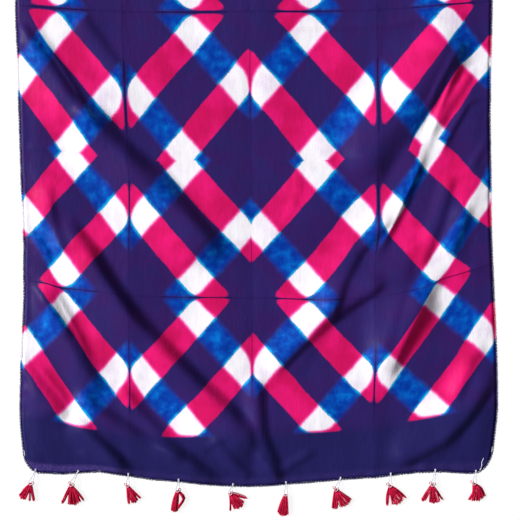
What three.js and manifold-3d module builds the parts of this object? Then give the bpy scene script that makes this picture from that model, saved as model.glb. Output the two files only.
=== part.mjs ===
// Silk stole laid flat: one clamp-dyed cloth with soft folds, a picot edging sewn round it,
// and ten yarn tassels on thread ties along each short end.
// Millimetres, +Z up, the shown end toward -Y. The origin is under the middle, on the surface.

import * as THREE from 'three';
import { mergeVertices } from 'three/addons/utils/BufferGeometryUtils.js';
import Module from 'manifold-3d';

const wasm = await Module();
wasm.setup();

// ---------- driving sizes ----------

const WIDTH = 560; // the cloth is cut 22 in wide
const CROSS_FOLDS = 12; // pressed folds across the cloth
const FOLD_STEP = 157; // from one pressed cross fold to the next
const HEM_BAND = 58; // from a short end to the first cross fold
const LENGTH = (CROSS_FOLDS - 1) * FOLD_STEP + 2 * HEM_BAND;
const CORNER_RADIUS = 18;
const WALL = 1.2;
const STEEPEST_WALL = 1.8; // most times its thickness a steep flank measures upright

const GAP = 0.3; // between pieces that touch
const EDGING_WIDTH = 2;
const EDGING_HEIGHT = 1.4;
const EDGING_STEP = 17;

const TIE_RADIUS = 0.8;
const TIE_RISE = 2.4; // of the tie's middle above its ends
const HEAD_RADIUS = 2.7;
const HEAD_LENGTH = 3.6;
const HEAD_UP = 3.2; // the head's middle above the surface
const LOCKS = 8;
const LOCK_RADIUS = 0.85; // at its end
const LOCK_ROOT_RADIUS = 0.35;
const LOCK_ROOT = 2.4; // how far from the head's middle a lock starts
const LAYER_UP = [1.3, 3.4, 5.5]; // lock ends above the surface, layer by layer

// Where the shown end lies: a row for each pressed cross fold. `along` is its place on the flat
// cloth; `across` and `up` are where its left edge, three lengthwise creases and right edge lie.
const SHOWN_ROWS = [
  { along: 0, across: [-258, -142, -5, 133, 260], up: [18, 15, 2, 13, 19] },
  { along: 58, across: [-264, -142, -5, 131, 268], up: [81, 59, 58, 67, 93] },
  { along: 215, across: [-260, -143, -6, 132, 263], up: [231, 215, 212, 213, 249] },
  { along: 372, across: [-264, -144, -7, 135, 260], up: [382, 368, 366, 370, 405] },
  { along: 529, across: [-269, -151, -8, 135, 262], up: [539, 532, 532, 534, 544] },
];
const LAID_LENGTH = 1834; // with its folds in
const COLUMN_STEP = WIDTH / 4;

// Folds of the shown end, seen from above and drawn downward. `bow` bends the crest's middle
// toward the right edge, `steep` and `gentle` are its right and left flanks, `rise` its height,
// and `take` the cloth it takes up.
const SHOWN_FOLDS = {
  left_long: { from: [-262, 530], to: [-162, 372], bow: 4, rise: 7, steep: 12, gentle: 38, take: 12 },
  left_long_end: { from: [-176, 396], to: [-30, 262], bow: -6, rise: 5, steep: 20, gentle: 44, take: 8 },
  right_tuck: { from: [226, 500], to: [160, 366], bow: -4, rise: 6, steep: 16, gentle: 26, take: 8 },
  right_inner: { from: [238, 488], to: [190, 372], bow: -2, rise: 7, steep: 11, gentle: 12, take: 12 },
  right_band: { from: [246, 444], to: [204, 368], bow: 0, rise: 4, steep: 6, gentle: 12, take: 6 },
  right_tuck_end: { from: [196, 396], to: [128, 248], bow: 3, rise: 7, steep: 11, gentle: 34, take: 12 },
  right_edge: { from: [232, 346], to: [212, 234], bow: 8, rise: 5, steep: 18, gentle: 30, take: 7 },
  right_low: { from: [220, 262], to: [138, 96], bow: 6, rise: 6, steep: 14, gentle: 34, take: 10 },
  right_outer: { from: [244, 160], to: [214, 92], bow: 2, rise: 4, steep: 12, gentle: 20, take: 5 },
  left_top: { from: [-234, 344], to: [-212, 250], bow: -4, rise: 5, steep: 10, gentle: 22, take: 8 },
  left_edge: { from: [-256, 286], to: [-226, 250], bow: 2, rise: 4, steep: 5, gentle: 14, take: 4 },
  left_low: { from: [-246, 250], to: [-176, 116], bow: 4, rise: 6, steep: 12, gentle: 30, take: 9 },
  left_middle: { from: [-202, 286], to: [-114, 160], bow: -4, rise: 4, steep: 12, gentle: 30, take: 4 },
  left_corner: { from: [-258, 150], to: [-196, 66], bow: 3, rise: 4, steep: 10, gentle: 22, take: 5 },
  middle_left: { from: [-124, 168], to: [-6, 34], bow: 6, rise: 3, steep: 18, gentle: 34, take: 3 },
  middle_right: { from: [104, 252], to: [28, 112], bow: 4, rise: 3, steep: 18, gentle: 34, take: 2 },
  hem_left: { from: [-194, 74], to: [-146, 16], bow: 3, rise: 3, steep: 14, gentle: 22, take: 2 },
  hem_middle: { from: [-118, 52], to: [-56, 8], bow: 3, rise: 3, steep: 12, gentle: 22, take: 2 },
  hem_right: { from: [232, 72], to: [176, 18], bow: 3, rise: 3, steep: 12, gentle: 20, take: 2 },
};

const DRAWN_IN = 30; // how far past its gentle flank a fold draws the cloth in

// Folds of the middle, between the shown end and the far one.
const MIDDLE_FOLDS = {
  mid_left: { from: [-236, 742], to: [-150, 566], bow: 5, rise: 5, steep: 14, gentle: 36, take: 7 },
  mid_right: { from: [216, 800], to: [126, 622], bow: -5, rise: 6, steep: 14, gentle: 36, take: 8 },
  mid_centre: { from: [-60, 1004], to: [36, 836], bow: 6, rise: 4, steep: 18, gentle: 40, take: 5 },
  mid_edge: { from: [246, 1010], to: [208, 900], bow: 2, rise: 4, steep: 12, gentle: 26, take: 5 },
  mid_outer: { from: [-244, 1060], to: [-204, 930], bow: -3, rise: 5, steep: 12, gentle: 30, take: 6 },
};

// Tassels of the shown end. `at` is the tie's place along the hem and `tie` its length; `tie_lean`
// and `lean` turn the tie and the tassel toward the right edge, in degrees; `fan` is half the
// spread of its locks; `long` runs from the head's middle to the lock ends.
const SHOWN_TASSELS = [
  { at: -270, tie: 16, tie_lean: -20, lean: -16, fan: 30, long: 17 },
  { at: -209, tie: 17, tie_lean: -28, lean: 6, fan: 36, long: 20 },
  { at: -142, tie: 14, tie_lean: -5, lean: 25, fan: 24, long: 18 },
  { at: -83, tie: 14, tie_lean: -5, lean: 7, fan: 26, long: 21 },
  { at: -22, tie: 11, tie_lean: -20, lean: 38, fan: 40, long: 17 },
  { at: 38, tie: 12, tie_lean: -3, lean: -8, fan: 17, long: 21 },
  { at: 99, tie: 14, tie_lean: -25, lean: 24, fan: 36, long: 19 },
  { at: 158, tie: 13, tie_lean: -7, lean: 20, fan: 31, long: 20 },
  { at: 213, tie: 15, tie_lean: -15, lean: 0, fan: 38, long: 18 },
  { at: 264, tie: 15, tie_lean: -11, lean: 24, fan: 30, long: 18 },
];

const COLORS = {
  cloth: { color: 0x3c2668, roughness: 0.42, metalness: 0 },
  edging: { color: 0x1c1842, roughness: 0.7, metalness: 0 },
  tie: { color: 0xf2f0ee, roughness: 0.8, metalness: 0 },
  tassel: { color: 0xb82040, roughness: 0.85, metalness: 0 },
};

// ---------- how the flat cloth lies ----------

// The far end lies as the shown one does, turned half round.
const turned = ([x, y]) => [-x, LAID_LENGTH - y];

const FAR_ROWS = SHOWN_ROWS.map(({ along, across, up }) => ({
  along: LENGTH - along,
  across: across.map((x) => -x).reverse(),
  up: up.map((y) => LAID_LENGTH - y).reverse(),
})).reverse();

function middleRows() {
  const first = SHOWN_ROWS.at(-1);
  const last = FAR_ROWS[0];
  const steps = Math.round((last.along - first.along) / FOLD_STEP);
  const rows = [];
  for (let step = 1; step < steps; step += 1) {
    const part = step / steps;
    const between = (a, b) => a.map((value, i) => THREE.MathUtils.lerp(value, b[i], part));
    rows.push({
      along: THREE.MathUtils.lerp(first.along, last.along, part),
      across: between(first.across, last.across),
      up: between(first.up, last.up),
    });
  }
  return rows;
}

const ROWS = [...SHOWN_ROWS, ...middleRows(), ...FAR_ROWS];
const ROW_PLACES = ROWS.map((row) => row.along);
const COLUMN_PLACES = [-2, -1, 0, 1, 2].map((column) => column * COLUMN_STEP);

const FAR_FOLDS = Object.values(SHOWN_FOLDS).map((fold) => ({
  ...fold,
  from: turned(fold.to),
  to: turned(fold.from),
  bow: -fold.bow,
}));
const FOLDS = [...Object.values(SHOWN_FOLDS), ...Object.values(MIDDLE_FOLDS), ...FAR_FOLDS];

// A smooth curve through values at uneven places.
function through(places, values, place) {
  let i = 0;
  while (i < places.length - 2 && place > places[i + 1]) i += 1;
  const slope = (k) => {
    const before = Math.max(k - 1, 0);
    const after = Math.min(k + 1, places.length - 1);
    return (values[after] - values[before]) / (places[after] - places[before]);
  };
  const span = places[i + 1] - places[i];
  const t = (place - places[i]) / span;
  const ease = t * t * (3 - 2 * t);
  const start = t * (1 - t) * (1 - t) * span * slope(i);
  const end = t * t * (t - 1) * span * slope(i + 1);
  return values[i] * (1 - ease) + values[i + 1] * ease + start + end;
}

// The corners are rounded: a corner square of the flat cloth becomes a quarter disc.
function roundCorner(u, v) {
  const a = (Math.abs(u) - (WIDTH / 2 - CORNER_RADIUS)) / CORNER_RADIUS;
  const b = (Math.abs(v - LENGTH / 2) - (LENGTH / 2 - CORNER_RADIUS)) / CORNER_RADIUS;
  if (a <= 0 || b <= 0) return [u, v];
  const inU = (a - a * Math.sqrt(1 - (b * b) / 2)) * CORNER_RADIUS;
  const inV = (b - b * Math.sqrt(1 - (a * a) / 2)) * CORNER_RADIUS;
  return [u - Math.sign(u) * inU, v - Math.sign(v - LENGTH / 2) * inV];
}

function pressedPlace(u, v) {
  const [a, b] = roundCorner(u, v);
  const x = through(ROW_PLACES, ROWS.map((row) => through(COLUMN_PLACES, row.across, a)), b);
  const y = through(ROW_PLACES, ROWS.map((row) => through(COLUMN_PLACES, row.up, a)), b);
  return [x, y];
}

const smooth = (t) => THREE.MathUtils.smoothstep(t, 0, 1);

// How one fold lifts the cloth at a place, and how far it draws it in toward its crest.
function foldAt(fold, x, y) {
  const [x0, y0] = fold.from;
  const [x1, y1] = fold.to;
  const long = Math.hypot(x1 - x0, y1 - y0);
  const right = [-(y1 - y0) / long, (x1 - x0) / long];
  const t = ((x - x0) * (x1 - x0) + (y - y0) * (y1 - y0)) / (long * long);
  if (t <= 0 || t >= 1) return { lift: 0, dx: 0, dy: 0 };
  const bend = fold.bow * 4 * t * (1 - t);
  const side = (x - x0) * right[0] + (y - y0) * right[1] - bend;
  const strength = smooth(Math.min(t, 1 - t) * 3.2);
  const lift = fold.rise * smooth(1 - Math.abs(side) / (side > 0 ? fold.steep : fold.gentle));
  const near = Math.max(0, 1 - Math.abs(side) / (fold.gentle + DRAWN_IN));
  const tight = Math.max(fold.take * 0.65, fold.steep * 0.6);
  const draw = (-fold.take / 2) * Math.tanh(side / tight) * near * near;
  return { lift: lift * strength, dx: draw * strength * right[0], dy: draw * strength * right[1] };
}

// Where a point of the flat cloth lies, as its place and the height of its underside.
function lie(u, v) {
  const [x, y] = pressedPlace(u, v);
  const at = new THREE.Vector3(x, y, 0);
  for (const fold of FOLDS) {
    const { lift, dx, dy } = foldAt(fold, x, y);
    at.x += dx;
    at.y += dy;
    at.z += lift;
  }
  return at;
}

// The wall's upright thickness grows on a flank, so that it stays as thick across.
function uprightWall(u, v) {
  const step = 0.5;
  const along = lie(u, v + step).sub(lie(u, v - step));
  const normal = lie(u + step, v).sub(lie(u - step, v)).cross(along).normalize();
  return WALL * Math.min(STEEPEST_WALL, 1 / Math.abs(normal.z));
}

// ---------- the cloth ----------

const ROUGH_STEP = 51; // no triangle's long edge is longer
const FINE_STEP = 17; // none is split below this
const FOLLOW = 1.4; // how far a facet may stay off the folded cloth
const RIM_STEP = 11; // no triangle at the rim is split below this
const RIM_FOLLOW = 0.12; // how far the rim may stay off its curve, so that it clears the edging

// Right triangles over the flat cloth, each split at its long edge until it follows the folds.
function facets() {
  const points = [];
  const known = new Map();
  const point = (u, v) => {
    const key = `${u.toFixed(2)} ${v.toFixed(2)}`;
    if (!known.has(key)) {
      known.set(key, points.length);
      points.push({ u, v, at: lie(u, v) });
    }
    return known.get(key);
  };
  const rows = Math.round(LENGTH / COLUMN_STEP);
  let triangles = [];
  for (let i = 0; i < 4; i += 1) {
    for (let j = 0; j < rows; j += 1) {
      const corner = (di, dj) => point(COLUMN_PLACES[i + di], ((j + dj) * LENGTH) / rows);
      const odd = (i + j) % 2;
      const [a, b, c, d] = [corner(0, 0), corner(1, 0), corner(1, 1), corner(0, 1)];
      if (odd) triangles.push([a, b, d], [c, d, b]);
      else triangles.push([b, c, a], [d, a, c]);
    }
  }
  const offSurface = ([p, q, r], [a, b, c]) => {
    const [P, Q, R] = [points[p], points[q], points[r]];
    const flat = new THREE.Vector3().addScaledVector(P.at, a).addScaledVector(Q.at, b);
    flat.addScaledVector(R.at, c);
    const real = lie(P.u * a + Q.u * b + R.u * c, P.v * a + Q.v * b + R.v * c);
    return flat.distanceTo(real);
  };
  const sides = [[0, 0.5, 0.5], [0.5, 0.5, 0], [0.5, 0, 0.5]];
  const tests = [...sides, [0.34, 0.33, 0.33]];
  const onRim = (triangle, weights) => {
    const [a, b] = triangle.filter((_, i) => weights[i] > 0).map((id) => points[id]);
    return Math.abs(a.u + b.u) === WIDTH || a.v + b.v === 0 || a.v + b.v === 2 * LENGTH;
  };
  const isRimRough = (triangle) => sides.some(
    (weights) => onRim(triangle, weights) && offSurface(triangle, weights) > RIM_FOLLOW,
  );
  const isRough = (triangle) => {
    const [, q, r] = triangle.map((id) => points[id]);
    const long = Math.hypot(q.u - r.u, q.v - r.v);
    if (long > ROUGH_STEP || (long > RIM_STEP && isRimRough(triangle))) return true;
    return long > FINE_STEP && tests.some((weights) => offSurface(triangle, weights) > FOLLOW);
  };
  const edge = (a, b) => (a < b ? `${a} ${b}` : `${b} ${a}`);
  const cut = new Set();
  const settled = new Set();
  for (let changed = true; changed; ) {
    changed = false;
    for (const triangle of triangles) {
      const [top, a, b] = triangle;
      if (cut.has(edge(a, b))) continue;
      const key = triangle.join(' ');
      const forced = cut.has(edge(top, a)) || cut.has(edge(top, b));
      if (!forced && settled.has(key)) continue;
      if (forced || isRough(triangle)) {
        cut.add(edge(a, b));
        changed = true;
      } else {
        settled.add(key);
      }
    }
    triangles = triangles.flatMap((triangle) => {
      const [top, a, b] = triangle;
      if (!cut.has(edge(a, b))) return [triangle];
      const middle = point((points[a].u + points[b].u) / 2, (points[a].v + points[b].v) / 2);
      return [[middle, top, a], [middle, b, top]];
    });
  }
  return { points, triangles };
}

function clothGeometry() {
  const { points, triangles } = facets();
  const count = points.length;
  const places = [];
  for (const { at } of points) places.push(at.x, at.y, at.z);
  for (const { u, v, at } of points) places.push(at.x, at.y, at.z + uprightWall(u, v));
  const faces = [];
  const rim = new Map();
  for (const [a, b, c] of triangles) {
    faces.push(a, c, b, a + count, b + count, c + count);
    for (const [from, to] of [[a, b], [b, c], [c, a]]) {
      if (!rim.delete(`${to} ${from}`)) rim.set(`${from} ${to}`, [from, to]);
    }
  }
  for (const [from, to] of rim.values()) {
    faces.push(from, to, to + count, from, to + count, from + count);
  }
  const geometry = new THREE.BufferGeometry();
  geometry.setAttribute('position', new THREE.Float32BufferAttribute(places, 3));
  geometry.setIndex(faces);
  return geometry;
}

// ---------- the picot edging ----------

// The four strips meet a little way up the long edges, past the rounded corners.
function edgePath(side) {
  const half = WIDTH / 2;
  const far = LENGTH - CORNER_RADIUS;
  const along = (from, to, steps, place) =>
    Array.from({ length: steps + 1 }, (_, i) => place(THREE.MathUtils.lerp(from, to, i / steps)));
  const longSteps = Math.round(LENGTH / EDGING_STEP);
  const shortSteps = Math.round(WIDTH / EDGING_STEP);
  const start = CORNER_RADIUS + GAP;
  if (side === 'left') return along(far - GAP, start, longSteps, (v) => [-half, v]);
  if (side === 'right') return along(start, far - GAP, longSteps, (v) => [half, v]);
  const cornerSteps = 3;
  const near = [
    ...along(CORNER_RADIUS, 0, cornerSteps, (v) => [-half, v]),
    ...along(-half, -half + CORNER_RADIUS, cornerSteps, (u) => [u, 0]).slice(1),
    ...along(-half + CORNER_RADIUS, half - CORNER_RADIUS, shortSteps, (u) => [u, 0]).slice(1),
    ...along(half - CORNER_RADIUS, half, cornerSteps, (u) => [u, 0]).slice(1),
    ...along(0, CORNER_RADIUS, cornerSteps, (v) => [half, v]).slice(1),
  ];
  if (side === 'near') return near;
  return near.map(([u, v]) => [-u, LENGTH - v]);
}

// A strip beside the cloth's edge, made from the edge's own points moved out.
function edgingGeometry(side) {
  const path = edgePath(side);
  const edge = path.map(([u, v]) => lie(u, v));
  const places = [];
  edge.forEach((at, i) => {
    const before = edge[Math.max(i - 1, 0)];
    const after = edge[Math.min(i + 1, edge.length - 1)];
    const out = new THREE.Vector3(after.y - before.y, before.x - after.x, 0).normalize();
    for (const [width, height] of [[0, 0], [1, 0], [1, 1], [0, 1]]) {
      const corner = at.clone().addScaledVector(out, GAP + width * EDGING_WIDTH);
      corner.z += height * EDGING_HEIGHT;
      places.push(...corner);
    }
  });
  const faces = [0, 1, 2, 0, 2, 3];
  for (let i = 0; i < edge.length - 1; i += 1) {
    for (let side4 = 0; side4 < 4; side4 += 1) {
      const a = i * 4 + side4;
      const b = i * 4 + ((side4 + 1) % 4);
      faces.push(a, a + 4, b + 4, a, b + 4, b);
    }
  }
  const last = (edge.length - 1) * 4;
  faces.push(last, last + 2, last + 1, last, last + 3, last + 2);
  const geometry = new THREE.BufferGeometry();
  geometry.setAttribute('position', new THREE.Float32BufferAttribute(places, 3));
  geometry.setIndex(faces);
  return geometry;
}

// ---------- the tassels ----------

function solid(geometry) {
  const bare = geometry.clone();
  bare.deleteAttribute('normal');
  bare.deleteAttribute('uv');
  const merged = mergeVertices(bare, 1e-4);
  return new wasm.Manifold(new wasm.Mesh({
    numProp: 3,
    vertProperties: new Float32Array(merged.attributes.position.array),
    triVerts: new Uint32Array(merged.index.array),
  }));
}

function fromSolid(body) {
  const mesh = body.getMesh();
  const geometry = new THREE.BufferGeometry();
  geometry.setAttribute('position', new THREE.BufferAttribute(mesh.vertProperties, 3));
  geometry.setIndex(new THREE.BufferAttribute(mesh.triVerts, 1));
  return geometry;
}

// One lock of yarn: it leaves the head, spreads sideways by `turn` and ends at its layer's height.
function lockGeometry(turn, long, endUp) {
  const bodyLong = long - LOCK_ROOT;
  const lock = new THREE.CylinderGeometry(LOCK_ROOT_RADIUS, LOCK_RADIUS, bodyLong, 3, 1);
  lock.translate(0, -LOCK_ROOT - bodyLong / 2, 0);
  lock.rotateX(-Math.atan2(endUp - HEAD_UP, long));
  return lock.rotateZ(turn);
}

function tasselGeometry(row) {
  const head = new THREE.SphereGeometry(1, 7, 4).rotateX(Math.PI / 2);
  head.scale(HEAD_RADIUS, HEAD_LENGTH, HEAD_RADIUS);
  let body = solid(head);
  for (let i = 0; i < LOCKS; i += 1) {
    const spread = (2 * i) / (LOCKS - 1) - 1;
    const turn = THREE.MathUtils.degToRad(row.fan * spread);
    const long = row.long * (1 - 0.1 * Math.abs(spread) - 0.06 * (i % 2));
    body = body.add(solid(lockGeometry(turn, long, LAYER_UP[i % LAYER_UP.length])));
  }
  return fromSolid(body);
}

// The tie leaves the hem beside the edging and meets the top of the head.
function tieGeometry(from, to) {
  const middle = from.clone().lerp(to, 0.5);
  middle.z += TIE_RISE;
  const section = new THREE.Shape(
    [0, 1, 2, 3].map((i) => new THREE.Vector2(
      TIE_RADIUS * Math.cos((i * Math.PI) / 2),
      TIE_RADIUS * Math.sin((i * Math.PI) / 2),
    )),
  );
  const path = new THREE.QuadraticBezierCurve3(from, middle, to);
  return new THREE.ExtrudeGeometry(section, { steps: 4, extrudePath: path, bevelEnabled: false });
}

// ---------- the stole ----------

const group = new THREE.Group();

function addPiece(name, geometry, look) {
  const mesh = new THREE.Mesh(geometry, new THREE.MeshStandardMaterial(look));
  mesh.name = name;
  group.add(mesh);
  return mesh;
}

// A direction leaning from straight out of the hem, in the plane of the surface.
const leaning = (degrees, outward) => {
  const angle = THREE.MathUtils.degToRad(degrees);
  return new THREE.Vector3(Math.sin(angle) * outward, -Math.cos(angle) * outward, 0);
};

function addTassel(row, number, outward) {
  const label = String(number).padStart(2, '0');
  const hem = outward > 0 ? lie(row.at, 0) : lie(-row.at, LENGTH);
  const way = leaning(row.tie_lean, outward);
  const fromHem = (distance) => hem.clone().addScaledVector(way, distance);
  const start = fromHem(2 * GAP + EDGING_WIDTH + TIE_RADIUS);
  start.z = hem.z + TIE_RADIUS + GAP;
  const head = fromHem(row.tie + HEAD_RADIUS);
  head.z = HEAD_UP;
  const end = fromHem(row.tie + HEAD_RADIUS - HEAD_LENGTH - GAP - TIE_RADIUS / 2);
  end.z = HEAD_UP;
  addPiece(`tie_${label}`, tieGeometry(start, end), COLORS.tie);
  const tassel = addPiece(`tassel_${label}`, tasselGeometry(row), COLORS.tassel);
  tassel.position.copy(head);
  tassel.rotation.z = THREE.MathUtils.degToRad(row.lean) + (outward > 0 ? 0 : Math.PI);
}

addPiece('cloth', clothGeometry(), COLORS.cloth);
for (const side of ['left', 'right', 'near', 'far']) {
  addPiece(`edging_${side}`, edgingGeometry(side), COLORS.edging);
}
SHOWN_TASSELS.forEach((row, i) => {
  addTassel(row, i + 1, 1);
  addTassel(row, i + 1 + SHOWN_TASSELS.length, -1);
});

group.updateMatrixWorld(true);
const box = new THREE.Box3().setFromObject(group, true);
const middle = box.getCenter(new THREE.Vector3());
group.position.set(-middle.x, -middle.y, -box.min.z);

export default group;
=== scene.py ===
"""A long silk stole, clamp-dyed in a lattice of pink, blue and white bands on purple, laid flat
with soft folds, with a picot edging all round and yarn tassels on thread ties at both ends."""

import math

import bpy
import numpy as np
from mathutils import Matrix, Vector
from mathutils.kdtree import KDTree


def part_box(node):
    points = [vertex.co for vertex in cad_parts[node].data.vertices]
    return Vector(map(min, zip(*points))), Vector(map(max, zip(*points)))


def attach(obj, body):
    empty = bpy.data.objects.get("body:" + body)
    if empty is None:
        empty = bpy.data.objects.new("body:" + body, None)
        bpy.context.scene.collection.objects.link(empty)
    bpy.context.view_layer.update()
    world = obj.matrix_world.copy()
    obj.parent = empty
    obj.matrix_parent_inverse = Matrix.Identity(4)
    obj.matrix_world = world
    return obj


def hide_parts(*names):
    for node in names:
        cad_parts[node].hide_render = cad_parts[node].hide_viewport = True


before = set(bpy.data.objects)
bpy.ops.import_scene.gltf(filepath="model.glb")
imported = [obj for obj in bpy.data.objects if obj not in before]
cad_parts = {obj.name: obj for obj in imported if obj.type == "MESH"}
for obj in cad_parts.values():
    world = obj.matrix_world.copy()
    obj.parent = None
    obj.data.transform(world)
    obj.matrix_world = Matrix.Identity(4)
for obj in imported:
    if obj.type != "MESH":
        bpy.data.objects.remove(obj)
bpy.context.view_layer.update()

MM = 0.001  # the tables and shapes below are in millimetres

# ---------- sizes of the cloth, as it was cut and pressed ----------

WIDTH = 560
COLUMN_STEP = WIDTH / 4  # folded in four across
FOLD_STEP = 157  # pressed folds across the length
CROSS_FOLDS = 12
HEM_BAND = 58
LENGTH = (CROSS_FOLDS - 1) * FOLD_STEP + 2 * HEM_BAND
CORNER_RADIUS = 18
LAID_LENGTH = 1834
DRAWN_IN = 30  # how far past its gentle flank a fold draws the cloth in
TAKE_SHARE = 0.65  # a fold draws in most of its cloth within this share of what it takes up
STEEP_SHARE = 0.6  # but not within less than this share of its steep flank
FOLD_FADE = 3.2  # how fast a fold reaches its full height from its ends
FOLD_LIFT = 0.7  # the broad folds are this much of the plain solid's; CREASES sharpen them

SILK_THICKNESS = 0.45
FINE_ROW = 3.4  # mesh rows of the shown end
COARSE_ROW = 8  # and of the rest
MESH_COLUMN = 4
SHOWN_END = 610

# Where each pressed cross fold of the shown end lies: the left edge, creases and right edge.
SHOWN_ROWS = [
    {"along": 0, "across": [-258, -142, -5, 133, 260], "up": [18, 15, 2, 13, 19]},
    {"along": 58, "across": [-264, -142, -5, 131, 268], "up": [81, 59, 58, 67, 93]},
    {"along": 215, "across": [-260, -143, -6, 132, 263], "up": [231, 215, 212, 213, 249]},
    {"along": 372, "across": [-264, -144, -7, 135, 260], "up": [382, 368, 366, 370, 405]},
    {"along": 529, "across": [-269, -151, -8, 135, 262], "up": [539, 532, 532, 534, 544]},
]

# Folds, drawn downward: both ends of the crest, how far its middle bows to the right, its
# height, the widths of its right and left flanks, and the cloth it takes up.
SHOWN_FOLDS = [
    # name, from, to, bow, rise, steep, gentle, take
    ("left_long", (-262, 530), (-162, 372), 4, 7, 12, 38, 12),
    ("left_long_end", (-176, 396), (-30, 262), -6, 5, 20, 44, 8),
    ("right_tuck", (232, 504), (160, 366), -4, 2, 16, 34, 22),
    ("right_inner", (238, 488), (190, 372), -2, 7, 11, 12, 12),
    ("right_band", (246, 444), (204, 368), 0, 4, 6, 12, 6),
    ("right_tuck_end", (196, 396), (128, 248), 3, 7, 11, 34, 12),
    ("right_edge", (232, 346), (212, 234), 8, 2.5, 18, 30, 7),
    ("right_low", (220, 262), (138, 96), -6, 6, 14, 34, 10),
    ("right_outer", (244, 160), (214, 92), 2, 4, 12, 20, 5),
    ("left_top", (-234, 344), (-212, 250), -4, 3, 12, 24, 8),
    ("left_edge", (-256, 286), (-226, 250), 2, 4, 5, 14, 4),
    ("left_low", (-246, 250), (-176, 116), 4, 6, 12, 30, 9),
    ("left_middle", (-202, 286), (-114, 160), -4, 4, 12, 30, 4),
    ("left_corner", (-258, 150), (-196, 66), 3, 4, 10, 22, 5),
    ("middle_left", (-124, 168), (-6, 34), 6, 3, 18, 34, 3),
    ("middle_right", (104, 252), (28, 112), 4, 3, 18, 34, 2),
    ("hem_left", (-194, 74), (-146, 16), 3, 3, 14, 22, 2),
    ("hem_middle", (-118, 52), (-56, 8), 3, 3, 12, 22, 2),
    ("hem_right", (232, 72), (176, 18), 3, 3, 12, 20, 2),
]
MIDDLE_FOLDS = [
    ("mid_left", (-236, 742), (-150, 566), 5, 5, 14, 36, 7),
    ("mid_right", (216, 800), (126, 622), -5, 6, 14, 36, 8),
    ("mid_centre", (-60, 1004), (36, 836), 6, 4, 18, 40, 5),
    ("mid_edge", (246, 1010), (208, 900), 2, 4, 12, 26, 5),
    ("mid_outer", (-244, 1060), (-204, 930), -3, 5, 12, 30, 6),
]

# Narrow creases of the shown end, drawn downward or to the left: the points of the crest, its
# height, and the widths of its steep flank, on the right or below, and of its soft one.
CREASES = [
    ([(-272, 524), (-254, 499), (-238, 479), (-224, 458), (-211, 438), (-180, 402)], 7, 9, 40),
    ([(-204, 432), (-178, 405), (-159, 380), (-130, 354), (-108, 338), (-94, 320), (-58, 276),
      (-34, 252)], 11, 17, 62),
    ([(-200, 532), (-191, 517), (-173, 492), (-153, 465), (-146, 452)], 3.2, 9, 24),
    ([(-236, 340), (-233, 301), (-222, 280), (-214, 256)], 1.6, 10, 24),
    ([(-260, 280), (-247, 270), (-237, 260), (-230, 250)], 2, 4, 8),
    ([(-222, 302), (-190, 262), (-173, 232), (-157, 210), (-145, 191), (-128, 174), (-101, 147),
      (-67, 112), (-32, 82), (-16, 62), (-5, 22)], 10, 14, 56),
    ([(-252, 229), (-236, 205), (-206, 166)], 2, 5, 9),
    ([(-244, 230), (-226, 190), (-211, 163), (-195, 134), (-174, 100)], 6.4, 12, 28),
    ([(-284, 166), (-264, 134), (-248, 112), (-228, 88), (-214, 70)], 7.5, 14, 28),
    ([(-208, 84), (-198, 70), (-180, 50), (-158, 28), (-138, 4)], 7, 11, 24),
    ([(-206, 112), (-184, 88), (-158, 69), (-124, 50), (-79, 30), (-40, -4)], 7, 12, 24),
    ([(-154, 118), (-141, 94), (-123, 74), (-100, 49), (-80, 28)], 4, 9, 16),
    ([(-200, 44), (-184, 30), (-170, 22)], 1.6, 5, 8),
    ([(-52, 60), (-36, 38), (-4, 4)], 3.4, 7, 12),
    ([(-2, 128), (-1, 100), (2, 60), (18, 20), (26, 0)], 6.4, 11, 20),
    ([(-1, 44), (8, 27), (19, 16), (26, 2)], 3, 5, 8),
    ([(66, 42), (40, 26), (20, 12)], 2, 6, 9),
    ([(222, 516), (204, 480), (181, 450), (165, 424), (137, 390), (110, 340)], 9, 28, 60),
    ([(230, 500), (216, 472), (205, 451), (190, 418)], 3, 7, 9),
    ([(243, 470), (231, 451), (220, 434), (212, 419), (202, 400)], 3, 5, 8),
    ([(254, 438), (235, 429)], 1, 4, 6),
    ([(260, 392), (238, 354)], 1.8, 6, 8),
    ([(234, 322), (230, 302), (222, 281), (211, 254)], 4.4, 10, 22),
    ([(218, 352), (214, 335), (202, 294), (189, 264), (181, 244)], 3.2, 7, 18),
    ([(265, 280), (241, 279)], 1.1, 4, 6),
    ([(265, 247), (235, 243)], 1.2, 4, 6),
    ([(152, 308), (137, 289), (112, 263), (95, 229), (80, 186)], 4.4, 8, 36),
    ([(146, 236), (128, 221), (101, 204), (74, 185), (45, 157), (14, 126)], 5.4, 9, 36),
    ([(176, 280), (167, 245), (157, 210), (148, 180), (138, 146)], 2, 10, 40),
    ([(195, 221), (184, 205), (166, 179), (148, 152), (130, 124)], 6.6, 19, 52),
    ([(252, 162), (220, 94)], 1.6, 8, 20),
    ([(272, 136), (251, 106), (230, 76), (208, 55), (178, 37), (146, 22)], 6.4, 10, 50),
    ([(45, 358), (46, 333), (39, 312), (30, 294)], 1.1, 3, 5),
    ([(178, 520), (133, 515), (40, 515)], 1.2, 3, 5),
    ([(-192, 379), (-258, 381)], 1, 3, 5),
]

# How far the shown hem strays up from its smooth line, by place along it; it fades inward.
HEM_WAVES = [(-280, 0), (-230, -1.5), (-180, 1.5), (-115, -3.5), (-60, -1.5), (45, 1), (140, -1),
             (190, 2), (225, 1), (255, -1.5), (280, -1)]
HEM_REACH = 30

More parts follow.
